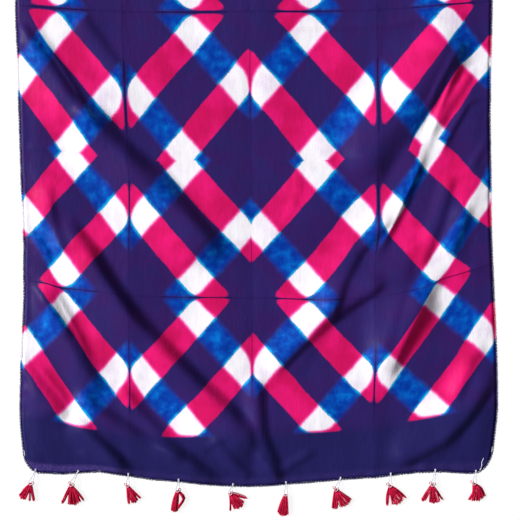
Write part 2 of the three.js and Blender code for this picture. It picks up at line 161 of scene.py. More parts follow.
# Heights of the pressed creases, the soft waves, the edge puckers and the cloth's underside.
COLUMN_LIFT = 0.8
COLUMN_REACH = 9  # how far to each side a lengthwise pressed crease shows
ROW_LIFT = 0.35
ROW_REACH = 6
SOFT_LIFT = 0.75
PUCKER_LIFT = 0.4
PUCKER_REACH = 11  # the puckers fade inward from the edge
EDGE_UP = 0.3
INNER_UP = 1.2  # this much more, from INNER_START inward
INNER_START = 24
LOWEST = 0.1
EDGE_FADE = 40  # creases and waves are lower within this of an edge, from these shares
CREASE_AT_EDGE = 0.45
SOFT_AT_EDGE = 0.4

# Tassels of the shown end: place along the hem, tie length and lean, length from the head's
# middle, sides of the neck where a turn of yarn shows, and the lobes as (from, to, share of the
# yarn, how far its lower half turns), all angles in degrees toward the right edge.
SHOWN_TASSELS = [
    (-270, 16, -20, 17, [1], [(-46, -16, 0.62, 0), (-8, 0, 0.14, 0), (6, 14, 0.24, 0)]),
    (-209, 17, -28, 20, [-1, 1], [(-30, -21, 0.2, 0), (-10, 31, 0.66, 0), (37, 43, 0.14, 0)]),
    (-142, 14, -5, 18, [-1], [(1, 9, 0.2, 0), (13, 37, 0.62, 0), (43, 49, 0.18, 0)]),
    (-83, 14, -5, 21, [1], [(-19, 1, 0.68, 0), (38, 46, 0.32, -76)]),
    (-22, 11, -20, 17, [1], [(-2, 4, 0.12, 0), (14, 62, 0.72, 0), (70, 78, 0.16, 0)]),
    (38, 12, -3, 21, [], [(-25, 9, 1.0, 0)]),
    (99, 14, -25, 19, [-1, 1], [(-12, 8, 0.4, 0), (14, 60, 0.6, 0)]),
    (158, 13, -7, 20, [-1], [(-11, -4, 0.2, 0), (6, 46, 0.66, 0), (51, 55, 0.14, 0)]),
    (213, 15, -15, 18, [-1, 1], [(-38, -22, 0.3, 0), (-10, 27, 0.56, 0), (33, 38, 0.14, 0)]),
    (264, 15, -11, 18, [-1], [(-2, 64, 1.0, -34)]),
]

# ---------- how the flat cloth lies ----------


def turned(point):
    """The far end lies as the shown one does, turned half round."""
    return (-point[0], LAID_LENGTH - point[1])


def all_rows():
    """The pressed cross folds of the whole cloth, from the shown end to the far one."""
    far = [
        {
            "along": LENGTH - row["along"],
            "across": [-x for x in row["across"]][::-1],
            "up": [LAID_LENGTH - y for y in row["up"]][::-1],
        }
        for row in SHOWN_ROWS
    ][::-1]
    first, last = SHOWN_ROWS[-1], far[0]
    steps = round((last["along"] - first["along"]) / FOLD_STEP)
    middle = []
    for step in range(1, steps):
        part = step / steps
        between = {
            key: np.asarray(first[key]) * (1 - part) + np.asarray(last[key]) * part
            for key in ("along", "across", "up")
        }
        middle.append(between)
    return SHOWN_ROWS + middle + far


ROWS = all_rows()
ROW_PLACES = np.array([float(row["along"]) for row in ROWS])
COLUMN_PLACES = np.array([-2, -1, 0, 1, 2]) * COLUMN_STEP
FAR_FOLDS = [
    (name, turned(end), turned(start), -bow, *rest)
    for name, start, end, bow, *rest in SHOWN_FOLDS
]
FOLDS = SHOWN_FOLDS + MIDDLE_FOLDS + FAR_FOLDS
MAIN_CREASE = 5  # the creases at least this high are repeated at the far end
FAR_CREASES = [
    ([turned(point) for point in points], rise, steep, gentle)
    for points, rise, steep, gentle in CREASES
    if rise >= MAIN_CREASE
]


def through(places, values, place):
    """A smooth curve through values at uneven places; values may hold a column for each place."""
    values = np.asarray(values, float)
    if values.ndim == 1:
        values = np.repeat(values[:, None], len(place), axis=1)
    knots = np.arange(len(places))
    before, after = np.maximum(knots - 1, 0), np.minimum(knots + 1, len(places) - 1)
    slopes = (values[after] - values[before]) / (places[after] - places[before])[:, None]
    i = np.clip(np.searchsorted(places, place, side="right") - 1, 0, len(places) - 2)
    n = np.arange(len(place))
    span = places[i + 1] - places[i]
    t = (place - places[i]) / span
    ease = t * t * (3 - 2 * t)
    start = t * (1 - t) ** 2 * span * slopes[i, n]
    end = t * t * (t - 1) * span * slopes[i + 1, n]
    return values[i, n] * (1 - ease) + values[i + 1, n] * ease + start + end


def smooth(t):
    """Eases from 0 to 1."""
    t = np.clip(t, 0, 1)
    return t * t * (3 - 2 * t)


def round_corner(u, v):
    """The corners are rounded: a corner square of the flat cloth becomes a quarter disc."""
    a = np.clip((np.abs(u) - (WIDTH / 2 - CORNER_RADIUS)) / CORNER_RADIUS, 0, 1)
    b = np.clip((np.abs(v - LENGTH / 2) - (LENGTH / 2 - CORNER_RADIUS)) / CORNER_RADIUS, 0, 1)
    in_u = (a - a * np.sqrt(1 - b * b / 2)) * CORNER_RADIUS
    in_v = (b - b * np.sqrt(1 - a * a / 2)) * CORNER_RADIUS
    return u - np.sign(u) * in_u, v - np.sign(v - LENGTH / 2) * in_v


def pressed_place(u, v):
    """Where points of the flat cloth lie before the folds draw them in."""
    a, b = round_corner(u, v)
    across = [through(COLUMN_PLACES, row["across"], a) for row in ROWS]
    up = [through(COLUMN_PLACES, row["up"], a) for row in ROWS]
    return through(ROW_PLACES, across, b), through(ROW_PLACES, up, b)


def fold_at(fold, x, y):
    """How one fold lifts the cloth, and how far it draws it in toward its crest."""
    _, (x0, y0), (x1, y1), bow, rise, steep, gentle, take = fold
    long = math.hypot(x1 - x0, y1 - y0)
    right = (-(y1 - y0) / long, (x1 - x0) / long)
    t = ((x - x0) * (x1 - x0) + (y - y0) * (y1 - y0)) / long**2
    side = (x - x0) * right[0] + (y - y0) * right[1] - bow * 4 * t * (1 - t)
    strength = smooth(np.minimum(t, 1 - t) * FOLD_FADE)
    lift = rise * smooth(1 - np.abs(side) / np.where(side > 0, steep, gentle))
    near = np.maximum(0, 1 - np.abs(side) / (gentle + DRAWN_IN))
    tight = max(take * TAKE_SHARE, steep * STEEP_SHARE)
    draw = -take / 2 * np.tanh(side / tight) * near**2
    return lift * strength, draw * strength * right[0], draw * strength * right[1]


def drape(u, v):
    """Where points of the flat cloth lie, and how high the broad folds lift them."""
    x, y = pressed_place(u, v)
    lifts, across, up = zip(*(fold_at(fold, x, y) for fold in FOLDS))
    return x + sum(across), y + sum(up), sum(lifts)


def crease_at(crease, x, y):
    """How one narrow crease lifts the laid cloth. Toward its ends its soft flank narrows and its
    height fades, a high one's over a longer way."""
    points, rise, steep, gentle = crease
    points = np.array(points, float)
    steps = np.diff(points, axis=0)
    longs = np.hypot(steps[:, 0], steps[:, 1])
    runs = np.concatenate([[0], np.cumsum(longs)])
    nearest, side, place = np.full_like(x, 1e9), np.zeros_like(x), np.zeros_like(x)
    for start, step, long, run in zip(points, steps, longs, runs):
        t = np.clip(((x - start[0]) * step[0] + (y - start[1]) * step[1]) / long**2, 0, 1)
        dx, dy = x - start[0] - t * step[0], y - start[1] - t * step[1]
        away = np.hypot(dx, dy)
        here = away < nearest
        nearest = np.where(here, away, nearest)
        side = np.where(here, dy * step[0] - dx * step[1], side)
        place = np.where(here, (run + t * long) / runs[-1], place)
    t = np.minimum(nearest / steep, 1)
    from_end = np.minimum(place, 1 - place) * runs[-1]
    gentle = gentle * (0.5 + 0.5 * smooth(from_end / gentle))
    flank = np.where(side > 0, 1 - 2 * t**2 + t**3, smooth(1 - nearest / gentle))
    return rise * flank * smooth(from_end / (4 + 3 * rise))


def waves(u, v, seed, count, shortest, longest):
    """Soft uneven waves of about unit height over the flat cloth."""
    random = np.random.default_rng(seed)
    total = np.zeros_like(u)
    for _ in range(count):
        angle = random.uniform(0, math.pi)
        step = random.uniform(shortest, longest)
        phase = random.uniform(0, 2 * math.pi)
        bend = 8 * np.sin(v / random.uniform(60, 160) + random.uniform(0, 6))
        place = u * math.cos(angle) + v * math.sin(angle) + bend
        total += np.sin(2 * math.pi * place / step + phase)
    return total / math.sqrt(count / 2)


def hem_stray(u, v):
    """How far the uneven hems move the cloth up its length."""
    places, strays = zip(*HEM_WAVES)
    near = np.interp(u, places, strays) * np.exp(-v / HEM_REACH)
    far = np.interp(-u, places, strays) * np.exp(-(LENGTH - v) / HEM_REACH)
    return near - far


def lie(u, v):
    """Where the silk lies, with its creases, soft waves and edge puckers."""
    x, y, z = drape(u, v)
    y = y + hem_stray(u, v)
    from_edge = np.minimum(WIDTH / 2 - np.abs(u), LENGTH / 2 - np.abs(v - LENGTH / 2))
    creased = sum(crease_at(crease, x, y) for crease in CREASES + FAR_CREASES)
    z = z * FOLD_LIFT + creased * smooth(CREASE_AT_EDGE + from_edge / EDGE_FADE)
    from_column = np.abs((u + 2 * COLUMN_STEP + COLUMN_STEP / 2) % COLUMN_STEP - COLUMN_STEP / 2)
    from_row = np.abs((v - HEM_BAND + FOLD_STEP / 2) % FOLD_STEP - FOLD_STEP / 2)
    column_side = np.where(np.round(u / COLUMN_STEP) % 2 == 0, -1.0, 1.0)
    columns = COLUMN_LIFT * column_side * np.exp(-from_column / COLUMN_REACH)
    pressed = columns + ROW_LIFT * np.exp(-from_row / ROW_REACH)
    soft = SOFT_LIFT * waves(u, v, seed=3, count=12, shortest=70, longest=190)
    soft = soft * smooth(SOFT_AT_EDGE + from_edge / EDGE_FADE)
    puckers = PUCKER_LIFT * waves(u, v, seed=8, count=9, shortest=12, longest=26)
    puckers = puckers * np.exp(-from_edge / PUCKER_REACH)
    base = EDGE_UP + INNER_UP * smooth(from_edge / INNER_START)
    return x, y, np.maximum(z + base + pressed + soft + puckers, LOWEST)


# ---------- building tools ----------

CLOTH_LOW, CLOTH_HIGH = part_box("cloth")
MIDDLE = ((CLOTH_LOW[0] + CLOTH_HIGH[0]) / 2, (CLOTH_LOW[1] + CLOTH_HIGH[1]) / 2)


def to_frame(x, y, z):
    """Millimetres on the laid cloth, as metres in the frame."""
    return np.stack([x * MM + MIDDLE[0], (y - LAID_LENGTH / 2) * MM + MIDDLE[1], z * MM], axis=-1)


def deselect():
    bpy.ops.object.select_all(action="DESELECT")


def finish_piece(piece, name, material, replaces=None):
    """Names a finished piece, gives it its material, hides the part it replaces, and lets it
    ride on the part.
    """
    piece.name = name
    piece.data.name = name
    piece.data.materials.clear()
    piece.data.materials.append(material)
    if replaces:
        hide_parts(replaces)
    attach(piece, "root")
    return piece


def tubes(paths, radii, sides=0):
    """One mesh of round threads: each path is a list of points in the frame, in metres."""
    curve = bpy.data.curves.new("threads", "CURVE")
    curve.dimensions = "3D"
    curve.bevel_depth = 1
    curve.bevel_resolution = sides
    curve.use_fill_caps = True
    for path, radius in zip(paths, radii):
        spline = curve.splines.new("POLY")
        spline.points.add(len(path) - 1)
        for point, place, size in zip(spline.points, path, radius):
            point.co = (*place, 1)
            point.radius = size
    piece = bpy.data.objects.new("threads", curve)
    bpy.context.collection.objects.link(piece)
    deselect()
    piece.select_set(True)
    bpy.context.view_layer.objects.active = piece
    bpy.ops.object.convert(target="MESH")
    piece = bpy.context.object
    bpy.ops.object.shade_smooth()
    return piece


# ---------- materials ----------


class Wire:
    """A number that a node gives: sums written on it become Math nodes."""

    def __init__(self, look, socket):
        self.look = look
        self.socket = socket

    def math(self, operation, *values):
        return self.look.node("ShaderNodeMath", {"operation": operation}, (self, *values))

    def __add__(self, other):
        return self.math("ADD", other)

    def __mul__(self, other):
        return self.math("MULTIPLY", other)

    def __sub__(self, other):
        return self.math("SUBTRACT", other)

    def __rsub__(self, other):
        return self.look.node("ShaderNodeMath", {"operation": "SUBTRACT"}, (other, self))

    def __abs__(self):
        return self.math("ABSOLUTE")

    def least(self, other):
        return self.math("MINIMUM", other)

    def rounded_most(self, other, radius):
        """The larger of two, with the corner between them rounded."""
        return self.math("SMOOTH_MAX", other, radius)

    def ramp(self, low, high, start=0.0, end=1.0):
        """Eases from start to end as this goes from low to high."""
        settings = {"interpolation_type": "SMOOTHSTEP"}
        return self.look.node("ShaderNodeMapRange", settings, (self, low, high, start, end))


class Look:
    """A material: its patterns are nodes, and its finish is set on the shader."""

    def __init__(self, name, finish):
        self.material = bpy.data.materials.new(name)
        self.material.use_nodes = True
        self.tree = self.material.node_tree
        self.shader = self.tree.nodes["Principled BSDF"]
        for socket, value in finish.items():
            self.shader.inputs[socket].default_value = value

    def node(self, kind, settings=None, values=(), named=None, output=0):
        """Adds a node, sets it, then fills its sockets in order or by name, and gives an output."""
        node = self.tree.nodes.new(kind)
        for key, value in (settings or {}).items():
            if key == "stops":
                self.set_stops(node.color_ramp, value)
            else:
                setattr(node, key, value)
        sockets = dict(enumerate(values))
        sockets.update(named or {})
        for key, value in sockets.items():
            if isinstance(value, Wire):
                self.tree.links.new(value.socket, node.inputs[key])
            else:
                node.inputs[key].default_value = value
        return Wire(self, node.outputs[output])

    @staticmethod
    def set_stops(ramp, stops):
        while len(ramp.elements) < len(stops):
            ramp.elements.new(1.0)
        for element, (place, color) in zip(ramp.elements, stops):
            element.position = place
            element.color = color

    def noise(self, where, scale, detail=2.0, output=0):
        values = {"Vector": where, "Scale": scale, "Detail": detail}
        return self.node("ShaderNodeTexNoise", named=values, output=output)

    def mix(self, factor, first, second, blend="MIX"):
        """Mixes two colours."""
        settings = {"data_type": "RGBA", "blend_type": blend}
        named = {0: factor, 6: first, 7: second}
        return self.node("ShaderNodeMix", settings, named=named, output=2)

    def colors(self, factor, stops):
        return self.node("ShaderNodeValToRGB", {"stops": stops}, (factor,))

    def place(self, x, y, z=0.0):
        return self.node("ShaderNodeCombineXYZ", values=(x, y, z))

    def split(self, vector):
        first = self.node("ShaderNodeSeparateXYZ", values=(vector,))
        return [Wire(self, output) for output in first.socket.node.outputs]

    def attribute(self, name):
        return self.node("ShaderNodeAttribute", {"attribute_name": name}, output=1)

    def to_nearest(self, place, middles):
        """How far a place is from the nearest of two middle lines."""
        first, second = (abs(place - middle) for middle in middles)
        return first.least(second)

    def bump(self, height, distance):
        return self.node("ShaderNodeBump", named={"Height": height, "Distance": distance})

    def use(self, socket, wire):
        self.tree.links.new(wire.socket, self.shader.inputs[socket])


LIT = 1.2  # how brightly the lamp and sky light a level face
HAZE = 0.005  # and what its sheen adds


def dye(red, green, blue):
    """A colour as it looks on the level cloth, in 0 to 255, as the shader's own numbers."""
    linear = []
    for value in (red, green, blue):
        part = value / 255
        part = part / 12.92 if part <= 0.04045 else ((part + 0.055) / 1.055) ** 2.4
        linear.append(max(0.0, part / LIT - HAZE))
    return (*linear, 1.0)


WHITE = dye(250, 246, 254)
BLUSH = dye(255, 178, 230)
HOT_PINK = dye(252, 72, 166)
PINK = dye(228, 32, 114)
DEEP_PINK = dye(198, 26, 86)
CYAN = dye(0, 176, 234)
BLUE = dye(0, 80, 182)
BRIGHT_BLUE = dye(0, 116, 208)
DARK_BLUE = dye(2, 58, 156)
VIOLET = dye(28, 46, 150)
PURPLE = dye(51, 39, 101)
RED_PURPLE = dye(57, 36, 98)
NAVY = dye(41, 38, 92)
# painted shade: the dark colour of the thin lines along the creases
CREASE_SHADE = dye(26, 18, 62)
LAVENDER = dye(236, 222, 242)
STITCH = dye(112, 88, 172)

# The dyed lattice, in millimetres over the cloth folded up on its creases. The bands that stay
# free of a dye lean by BAND_TILT, and each is given by its middle line.
BAND_TILT = math.radians(41.5)
FREE_OF_BLUE = (-32, 42.5)
FREE_OF_PINK = (55.5, 148)
BLUE_FREE_HALF = 16.5
PINK_FREE_HALF = 16
CREASE_ROUNDING = 15
HEM_ROUNDING = 8
BAND_DRIFT = 3.0  # how far the bands wander
BLUE_FRAY = 1.1  # how far their edges fray
PINK_FRAY = 0.9
STITCH_MIDDLE = 20  # the hem's stitches show most round this place

# How fine each noise of the dye is: its turns in a millimetre.
DRIFT_NOISE = 0.05
FRAY_NOISE = 0.5
CLOUD_NOISE = 0.03
MOTTLE_NOISE = 0.085
SPECK_NOISE = 0.42


def dyed_colour(look):
    """The place on the flat cloth, and the dye there: what is free of blue is white or pink, the
    rest blue or purple. A thin dark line of painted shade runs along each crease."""
    u01, v01, _ = look.split(look.attribute("flat"))
    u, v = u01 * WIDTH, v01 * LENGTH
    where = look.place(u, v)
    across, along, hem = look.split(look.attribute("folded"))
    # the third part of crept is nearness to a crease, which places the painted crease shade
    pink_crept, blue_crept, crease = look.split(look.attribute("crept"))
    drift_u, drift_v, _ = look.split(look.noise(where, DRIFT_NOISE, 2.0, output=1))
    fray_u, fray_v, _ = look.split(look.noise(where, FRAY_NOISE, 1.0, output=1))
    across = (across + (drift_u - 0.5) * BAND_DRIFT) * math.cos(BAND_TILT)
    along = (along + (drift_v - 0.5) * BAND_DRIFT) * math.sin(BAND_TILT)
    blue, pink = across - along, across + along
    blue = look.to_nearest(blue, FREE_OF_BLUE) - BLUE_FREE_HALF
    pink = look.to_nearest(pink, FREE_OF_PINK) - PINK_FREE_HALF
    in_band = blue.least(pink).ramp(-3, 1, 1.0, 0.0)
    blue = blue.rounded_most(blue_crept, CREASE_ROUNDING).rounded_most(hem, HEM_ROUNDING)
    pink = pink.rounded_most(pink_crept, CREASE_ROUNDING).rounded_most(hem + 1, HEM_ROUNDING)
    blue = blue + (fray_u - 0.5) * BLUE_FRAY
    pink = pink + (fray_v - 0.5) * PINK_FRAY

    cloud = look.noise(where, CLOUD_NOISE, 3.0)
    mottle = look.noise(where, MOTTLE_NOISE, 5.0)
    speck = look.noise(where, SPECK_NOISE, 1.0)
    has_blue = blue.ramp(-0.8, 0.8)
    has_pink = pink.ramp(-3.0, 2.2)
    white = look.mix(cloud.ramp(0.45, 0.75) * (1 - has_pink), WHITE, LAVENDER)
    rosy = look.colors(has_pink, [(0, WHITE), (0.3, BLUSH), (0.62, HOT_PINK), (1, PINK)])
    rosy = look.mix(has_pink.ramp(0.0, 0.3, 1.0, 0.0), rosy, white)
    rosy = look.mix(cloud.ramp(0.38, 0.66) * has_pink * 0.75, rosy, DEEP_PINK)
    bluish = look.mix(mottle.ramp(0.34, 0.56), DARK_BLUE, BLUE)
    bluish = look.mix(mottle.ramp(0.5, 0.74), bluish, BRIGHT_BLUE)
    bluish = look.mix(speck.ramp(0.68, 0.76) * mottle.ramp(0.45, 0.6) * 0.5, bluish, CYAN)
    bluish = look.mix(pink.ramp(-7, -0.5) * 0.5, bluish, VIOLET)
    purple = look.mix(cloud.ramp(0.4, 0.62), PURPLE, RED_PURPLE)
    purple = look.mix(hem.ramp(-18, 10), purple, NAVY)
    bluish = look.mix(pink.ramp(-3.0, 3.0), bluish, purple)
    colour = look.mix(has_blue, rosy, bluish)
    fringe = blue.ramp(-0.7, 0.3) * blue.ramp(0.6, 3.2, 1.0, 0.0) * (1 - has_pink)
    fringe = fringe * (mottle.ramp(0.4, 0.6) * 0.6 + 0.3)
    colour = look.mix(fringe, colour, CYAN)
    # painted crease shade: a thin dark line along each crease, fainter in the hem band
    line = crease.ramp(-0.9, 0.1) * (in_band * 0.4 + 0.22) * hem.ramp(-20, 4, 1.0, 0.2)
    return u, v, look.mix(line * has_pink, colour, CREASE_SHADE)


def silk_look():
    """Dyed silk: slubs and streaks along the cloth, fine wrinkles and the stitches of its hem."""
    look = Look("dyed_silk", {"Roughness": 0.5, "Specular IOR Level": 0.06})
    u, v, colour = dyed_colour(look)
    slub = look.noise(look.place(u * 0.9, v * 0.04), 1.0, 2.0)
    streak = look.noise(look.place(u * 0.05, v * 0.02), 1.0, 4.0)
    shade = slub.ramp(0.3, 0.7) * 0.04 + streak.ramp(0.3, 0.7) * 0.12 + 0.91
    from_hem = v.least(LENGTH - v)
    stitch = from_hem.ramp(0, 2) * from_hem.ramp(6, 11, 1.0, 0.0)
    speck = look.noise(look.place(u, v), 0.6, 1.0).ramp(0.56, 0.66)
    clear = abs(u - STITCH_MIDDLE).ramp(70, 140, 1.0, 0.2)
    colour = look.mix(stitch * clear * (speck * 0.5 + 0.2), colour, STITCH)
    look.use("Base Color", look.mix(1.0, colour, look.place(shade, shade, shade), "MULTIPLY"))
    look.use("Roughness", slub.ramp(0.3, 0.7) * 0.1 + 0.4)
    wrinkle = look.noise(look.place(u * 0.5, v * 0.22), 0.35, 3.0)
    look.use("Normal", look.bump(slub * 0.05 + wrinkle * 0.32, MM))
    return look.material


def edging_look():
    """The edging is dyed with the cloth, and looks a little darker."""
    look = Look("dyed_edging", {"Roughness": 0.8, "Specular IOR Level": 0.05})
    _, _, colour = dyed_colour(look)
    look.use("Base Color", look.mix(0.3, colour, colour, "MULTIPLY"))
    where = look.node("ShaderNodeTexCoord", output=3)
    look.use("Normal", look.bump(look.noise(where, 1800.0), 0.2 * MM))
    return look.material


def thread_look(name, dark, light, roughness):
    """Spun thread or yarn: uneven colour and a fine twist."""
    look = Look(name, {"Roughness": roughness, "Specular IOR Level": 0.12})
    where = look.node("ShaderNodeTexCoord", output=3)
    patch = look.noise(where, 260.0, 2.0)
    fibre = look.noise(where, 2200.0, 2.0)
    blend = patch.ramp(0.35, 0.65) * 0.7 + fibre.ramp(0.3, 0.7) * 0.3
    look.use("Base Color", look.mix(blend, dark, light))
    look.use("Normal", look.bump(fibre + patch * 0.5, 0.3 * MM))
    return look.material


def floor_look():
    """A pale floor that glows a little, so that it is white beside the thin white ties."""
    glow = {"Emission Color": (1, 1, 1, 1), "Emission Strength": 0.88}
    look = Look("pale_floor", {"Roughness": 0.9, "Specular IOR Level": 0.0, **glow})
    where = look.node("ShaderNodeTexCoord", output=3)
    dark, light = (0.11, 0.11, 0.11, 1), (0.13, 0.13, 0.13, 1)
    look.use("Base Color", look.mix(look.noise(where, 2.0), dark, light))
    return look.material


SILK = silk_look()
EDGING_THREAD = edging_look()
YARN = thread_look("tassel_yarn", dye(184, 24, 58), dye(226, 40, 84), 0.85)
WHITE_THREAD = thread_look("tie_thread", dye(188, 188, 204), dye(242, 240, 250), 0.8)

# ---------- how the dye crept along the creases, and where the painted crease shade lies ---

# Half width of the line of dye that each crease of the shown end took up, segment by segment from
# the hem, or column by column from the left. NONE is a crease that stayed tight.
NONE = -6
LENGTHWISE_LINES = {1: [0.5, 0.5, 2.4, 2.8], 3: [0.9, 2.2, 2.9, 2.8]}
MIDDLE_PINK_LINE = [0.9, NONE, 0.6, NONE]
EDGE_PINK_LINE = {0: [NONE, NONE, NONE, -1], 4: [0.4, -2.5, -4, -2.5]}
CROSS_LINES = {1: [0.7, 0.5, 0.5, -1], 3: [2.4, 1.9, 1.2, 0.8]}
BLUE_SPREAD = -2.5  # blue only reaches a middle crease where the bands come close
SLIP = 1.2  # how far the folded layers slid over each other
# Where they slid further: the middle of the place, how far the pattern moved there, its reach.
SLIDES = [
    ((228, 512), (9, -1), 40),
    ((-238, 500), (-4, -4), 40),
    ((-76, 504), (3, -3), 35),
    ((122, 440), (0, 5), 35),
    ((-220, 372), (-3, 0), 40),
    ((70, 371), (-3, 0), 40),
    ((120, 300), (-4, 4), 35),
    ((262, 300), (0, -6), 35),
    ((210, 240), (-4, -4), 35),
    ((-228, 232), (-2, -4), 35),
    ((-142, 128), (0, 5), 40),
    ((-82, 78), (0, 5), 30),
]
LEFT_PANEL = 130  # the left panel was folded this wide when the cloth was dyed

# Half width of the painted shade line that shows along each kind of crease.
LENGTHWISE_SHADE_LINE = 0.5
MIDDLE_SHADE_LINE = 0.1
CROSS_SHADE_LINE = 0.4


def for_all_segments(shown, count, seed):
    """The shown values, and uneven ones of the same kind for the rest of the cloth."""
    random = np.random.default_rng(seed)
    return np.concatenate([shown, random.choice(shown, count - len(shown))])


def slide_back(u, v):
    """Where the pattern of each place was before the layers slid."""
    back_u, back_v = u, v
    for (at_u, at_v), (by_u, by_v), reach in SLIDES:
        near = np.exp(-((u - at_u) ** 2 + (v - at_v) ** 2) / reach**2)
        back_u, back_v = back_u - by_u * near, back_v - by_v * near
    return back_u, back_v


def creep_and_crease_shade(u, v, column, segment):
    """How far pink and blue crept along the creases, and how near each place is to a crease, which
    places the painted crease shade.
    """
    segments = CROSS_FOLDS - 1
    place = (v - HEM_BAND) / FOLD_STEP - 0.5
    pink = np.full_like(u, NONE)
    blue = np.full_like(u, NONE)
    crease = np.full_like(u, NONE)
    for line, shown in LENGTHWISE_LINES.items():
        half = np.interp(place, np.arange(segments), for_all_segments(shown, segments, line))
        away = np.abs(u + WIDTH / 2 - line * COLUMN_STEP)
        pink, blue = np.maximum(pink, half - away), np.maximum(blue, half - away)
        crease = np.maximum(crease, LENGTHWISE_SHADE_LINE - away)
    for line, shown in {2: MIDDLE_PINK_LINE, **EDGE_PINK_LINE}.items():
        half = for_all_segments(shown, segments, line)[segment]
        away = np.abs(u + WIDTH / 2 - line * COLUMN_STEP)
        pink, blue = np.maximum(pink, half - away), np.maximum(blue, BLUE_SPREAD - away)
    crease = np.maximum(crease, MIDDLE_SHADE_LINE - np.abs(u))
    for line in range(1, CROSS_FOLDS - 1, 2):
        half = np.array(CROSS_LINES.get(line, CROSS_LINES[1]))[column]
        away = np.abs(v - HEM_BAND - line * FOLD_STEP)
        pink, blue = np.maximum(pink, half - away), np.maximum(blue, half - away)
        crease = np.maximum(crease, CROSS_SHADE_LINE - away)
    return np.stack([pink, blue, crease], axis=1)


def mark_dye(piece, u, v):
    """Stores where each corner lay in the folded cloth, how far dye crept along creases, and how
    near each corner is to a crease, which places the painted crease shade.
    """
    faces = piece.data.polygons
    totals = np.empty(len(faces), dtype=np.int32)
    faces.foreach_get("loop_total", totals)
    face = np.repeat(np.arange(len(faces)), totals)
    middle_u = (np.bincount(face, u) / totals)[face]
    middle_v = (np.bincount(face, v) / totals)[face]
    segments = CROSS_FOLDS - 1
    column = np.clip((middle_u + WIDTH / 2) // COLUMN_STEP, 0, 3).astype(int)
    segment = np.clip((middle_v - HEM_BAND) // FOLD_STEP, 0, segments - 1).astype(int)

    back_u, back_v = slide_back(u, v)
    from_left = back_u + WIDTH / 2 - column * COLUMN_STEP
    from_low = back_v - HEM_BAND - segment * FOLD_STEP
    across = np.where(column % 2 == 1, from_left, COLUMN_STEP - from_left)
    across = np.where(column == 0, across * LEFT_PANEL / COLUMN_STEP, across)
    along = np.where(segment % 2 == 0, from_low, FOLD_STEP - from_low)
    hem = np.maximum(HEM_BAND - v, v - (LENGTH - HEM_BAND))
    random = np.random.default_rng(5)
    slips = random.uniform(-SLIP, SLIP, (2, 4, segments))[:, column, segment]
    folded = np.stack([across + slips[0], along + slips[1], hem], axis=1)
    crept = creep_and_crease_shade(u, v, column, segment)
    for name, values in (("folded", folded), ("crept", crept)):
        marks = piece.data.attributes.new(name, "FLOAT_VECTOR", "CORNER")
        marks.data.foreach_set("vector", values.ravel())


# ---------- the cloth ----------


def mesh_steps():
    """Places of the mesh's rows and columns on the flat cloth, with one on every crease."""
    across = np.linspace(-WIDTH / 2, WIDTH / 2, 4 * round(COLUMN_STEP / MESH_COLUMN) + 1)
    marks = [0, HEM_BAND] + [HEM_BAND + FOLD_STEP * k for k in range(1, CROSS_FOLDS)] + [LENGTH]
    along = [0.0]
    for low, high in zip(marks, marks[1:]):
        step = FINE_ROW if high <= SHOWN_END else COARSE_ROW
        along.extend(np.linspace(low, high, round((high - low) / step) + 1)[1:])
    return across, np.array(along)


def make_cloth():
    """The silk: a grid laid out with its folds, thickened and dyed."""
    across, along = mesh_steps()
    deselect()
    bpy.ops.mesh.primitive_grid_add(
        x_subdivisions=len(across) - 1, y_subdivisions=len(along) - 1, size=1
    )
    cloth = bpy.context.object
    flat_u, flat_v = np.meshgrid(across, along)
    u, v = flat_u.ravel(), flat_v.ravel()
    cloth.data.vertices.foreach_set("co", to_frame(*lie(u, v)).ravel())
    layer = cloth.data.uv_layers[0]
    layer.name = "flat"
    corners = np.empty(len(cloth.data.loops), dtype=np.int32)
    cloth.data.loops.foreach_get("vertex_index", corners)
    places = np.stack([u / WIDTH + 0.5, v / LENGTH], axis=1)[corners]
    layer.data.foreach_set("uv", places.ravel())
    cloth.data.update()
    thickness = cloth.modifiers.new("thickness", "SOLIDIFY")
    thickness.thickness = SILK_THICKNESS * MM
    thickness.offset = 1
    bpy.ops.object.modifier_apply(modifier="thickness")
    bpy.ops.object.shade_smooth()
    for face in cloth.data.polygons:  # the rim stays flat, so that it shades no face beside it
        face.use_smooth = abs(face.normal.z) > 0.5
    places = np.empty(len(cloth.data.loops) * 2)
    cloth.data.uv_layers["flat"].data.foreach_get("uv", places)
    mark_dye(cloth, (places[::2] - 0.5) * WIDTH, places[1::2] * LENGTH)
    finish_piece(cloth, "silk_cloth", SILK, "cloth")
    return cloth


cloth = make_cloth()

# ---------- the picot edging ----------

ROLL_RADIUS = 0.4
ROLL_OUT = 0.42  # from the cloth's edge to the roll's middle
PICOT_PITCH = 3.4
PICOT_LONG = 1.1  # half a loop along the edge
PICOT_WIDE = 0.55  # and out from it
PICOT_THREAD = 0.34
PICOT_OUT = 1.3  # from the cloth's edge to a loop's middle
PICOT_SMALLEST, PICOT_LARGEST = 0.85, 1.12
PICOT_TURN = 0.15  # how unevenly the loops face, in radians


def edge_flat(side):
    """Flat places along one side; the two short sides take in the corners."""
    half, corner = WIDTH / 2, CORNER_RADIUS
    fine, bend = 1500, 40  # places along a side and round a corner
    if side in ("left", "right"):
        v = np.linspace(corner, LENGTH - corner, fine)
        u = np.full(fine, half)
        return (u, v) if side == "right" else (-u, v[::-1])
    up = np.linspace(corner, 0, bend)
    run = np.linspace(-half, half, fine)
    u = np.concatenate([np.full(bend, -half), run[1:], np.full(bend - 1, half)])
    v = np.concatenate([up, np.zeros(fine - 1), up[::-1][1:]])
    return (u, v) if side == "near" else (-u, LENGTH - v)


